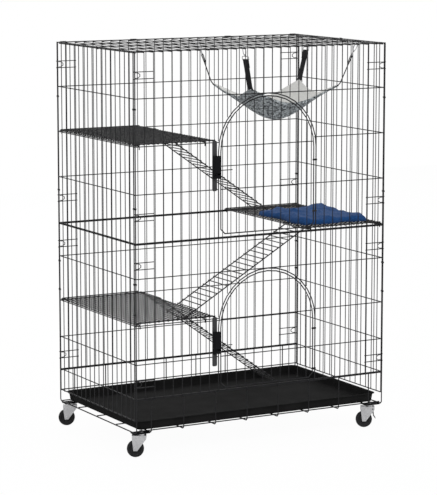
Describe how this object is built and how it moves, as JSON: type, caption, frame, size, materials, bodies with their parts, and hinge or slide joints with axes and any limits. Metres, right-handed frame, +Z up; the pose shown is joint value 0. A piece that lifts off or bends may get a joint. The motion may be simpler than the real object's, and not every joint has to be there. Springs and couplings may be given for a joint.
{
  "type": "cat cage",
  "caption": "Tall wire cat cage on swivel casters with arched doors, mesh shelves joined by ramps, a slide-out tray and a hanging bed.",
  "frame": {"origin": "on the floor under the middle of the cage body", "axes": "+X to the right, +Y to the back, away from the doors, +Z up"},
  "size_m": [0.9428, 0.5883, 1.2965],
  "materials": {
    "black_wire": "satin",
    "black_plate": "satin",
    "black_plastic": "matte",
    "zinc": "satin",
    "wheel_rubber": "matte",
    "bed_plush": "matte",
    "webbing": "matte",
    "blue_fleece": "matte"
  },
  "bodies": {
    "cage": {"base_cross_wires": "black_wire", "base_long_wires": "black_wire", "front_upper_panel": "black_wire", "front_lower_panel": "black_wire", "back_upper_panel": "black_wire", "back_lower_panel": "black_wire", "left_upper_panel": "black_wire", "left_lower_panel": "black_wire", "right_upper_panel": "black_wire", "right_lower_panel": "black_wire", "roof_panel": "black_wire", "upper_doorway": "black_wire", "lower_doorway": "black_wire", "upper_latch_plate": "black_plate", "lower_latch_plate": "black_plate", "upper_latch_block": "black_plastic", "lower_latch_block": "black_plastic", "upper_shelf": "black_wire", "middle_shelf": "black_wire", "lower_shelf": "black_wire", "post_clips": "black_plate", "roof_clips": "black_plate", "corner_hooks": "black_wire", "caster_plates": "black_plate", "caster_nuts": "zinc", "caster_stems": "zinc", "hanging_bed": "bed_plush", "bed_straps": "webbing", "snap_hooks": "zinc", "blanket": "blue_fleece"},
    "upper_door": {"upper_door": "black_wire", "upper_hinge_rings": "black_wire"},
    "lower_door": {"lower_door": "black_wire", "lower_hinge_rings": "black_wire"},
    "upper_bolt": {"upper_bolt": "zinc"},
    "lower_bolt": {"lower_bolt": "zinc"},
    "tray": {"tray": "black_plastic"},
    "upper_ramp": {"upper_ramp": "black_wire"},
    "middle_ramp": {"middle_ramp": "black_wire"},
    "lower_ramp": {"lower_ramp": "black_wire"},
    "front_left_fork": {"front_left_fork": "zinc", "front_left_axle": "zinc"},
    "front_left_wheel": {"front_left_wheel": "wheel_rubber"},
    "front_right_fork": {"front_right_fork": "zinc", "front_right_axle": "zinc"},
    "front_right_wheel": {"front_right_wheel": "wheel_rubber"},
    "front_right_brake": {"front_right_brake": "zinc"},
    "back_left_fork": {"back_left_fork": "zinc", "back_left_axle": "zinc"},
    "back_left_wheel": {"back_left_wheel": "wheel_rubber"},
    "back_right_fork": {"back_right_fork": "zinc", "back_right_axle": "zinc"},
    "back_right_wheel": {"back_right_wheel": "wheel_rubber"},
    "back_right_brake": {"back_right_brake": "zinc"}
  },
  "joints": [
    {"name": "upper_door_hinge", "type": "hinge", "parent": "cage", "child": "upper_door", "pos_m": [0.198, -0.28225, 0.9], "axis": [0, 0, 1], "range_deg": [0, 170]},
    {"name": "lower_door_hinge", "type": "hinge", "parent": "cage", "child": "lower_door", "pos_m": [0.198, -0.28225, 0.38], "axis": [0, 0, 1], "range_deg": [0, 170]},
    {"name": "upper_bolt_slide", "type": "slide", "parent": "cage", "child": "upper_bolt", "axis": [1, 0, 0], "range_m": [0, 0.014]},
    {"name": "lower_bolt_slide", "type": "slide", "parent": "cage", "child": "lower_bolt", "axis": [1, 0, 0], "range_m": [0, 0.014]},
    {"name": "tray_slide", "type": "slide", "parent": "cage", "child": "tray", "axis": [1, 0, 0], "range_m": [0, 0.65]},
    {"name": "upper_ramp_lift", "type": "hinge", "parent": "cage", "child": "upper_ramp", "pos_m": [-0.172, 0.202, 1.00025], "axis": [0, -1, 0], "range_deg": [0, 35]},
    {"name": "middle_ramp_lift", "type": "hinge", "parent": "cage", "child": "middle_ramp", "pos_m": [0.172, -0.2045, 0.69525], "axis": [0, 1, 0], "range_deg": [0, 30]},
    {"name": "lower_ramp_lift", "type": "hinge", "parent": "cage", "child": "lower_ramp", "pos_m": [-0.172, 0.189, 0.43225], "axis": [0, -1, 0], "range_deg": [0, 35]},
    {"name": "front_left_swivel", "type": "hinge", "parent": "cage", "child": "front_left_fork", "pos_m": [-0.432, -0.256, 0.072], "axis": [0, 0, 1], "continuous": true},
    {"name": "front_left_roll", "type": "hinge", "parent": "front_left_fork", "child": "front_left_wheel", "pos_m": [-0.44862, -0.24679, 0.0275], "axis": [0.4848, 0.8746, 0], "continuous": true},
    {"name": "front_right_swivel", "type": "hinge", "parent": "cage", "child": "front_right_fork", "pos_m": [0.432, -0.256, 0.072], "axis": [0, 0, 1], "continuous": true},
    {"name": "front_right_roll", "type": "hinge", "parent": "front_right_fork", "child": "front_right_wheel", "pos_m": [0.41538, -0.24679, 0.0275], "axis": [0.4848, 0.8746, 0], "continuous": true},
    {"name": "front_right_brake_press", "type": "hinge", "parent": "front_right_fork", "child": "front_right_brake", "pos_m": [0.44075, -0.26085, 0.0638], "axis": [0.4848, 0.8746, 0], "range_deg": [0, 14]},
    {"name": "back_left_swivel", "type": "hinge", "parent": "cage", "child": "back_left_fork", "pos_m": [-0.432, 0.256, 0.072], "axis": [0, 0, 1], "continuous": true},
    {"name": "back_left_roll", "type": "hinge", "parent": "back_left_fork", "child": "back_left_wheel", "pos_m": [-0.44862, 0.26521, 0.0275], "axis": [0.4848, 0.8746, 0], "continuous": true},
    {"name": "back_right_swivel", "type": "hinge", "parent": "cage", "child": "back_right_fork", "pos_m": [0.432, 0.256, 0.072], "axis": [0, 0, 1], "continuous": true},
    {"name": "back_right_roll", "type": "hinge", "parent": "back_right_fork", "child": "back_right_wheel", "pos_m": [0.41538, 0.26521, 0.0275], "axis": [0.4848, 0.8746, 0], "continuous": true},
    {"name": "back_right_brake_press", "type": "hinge", "parent": "back_right_fork", "child": "back_right_brake", "pos_m": [0.44075, 0.25115, 0.0638], "axis": [0.4848, 0.8746, 0], "range_deg": [0, 14]}
  ]
}
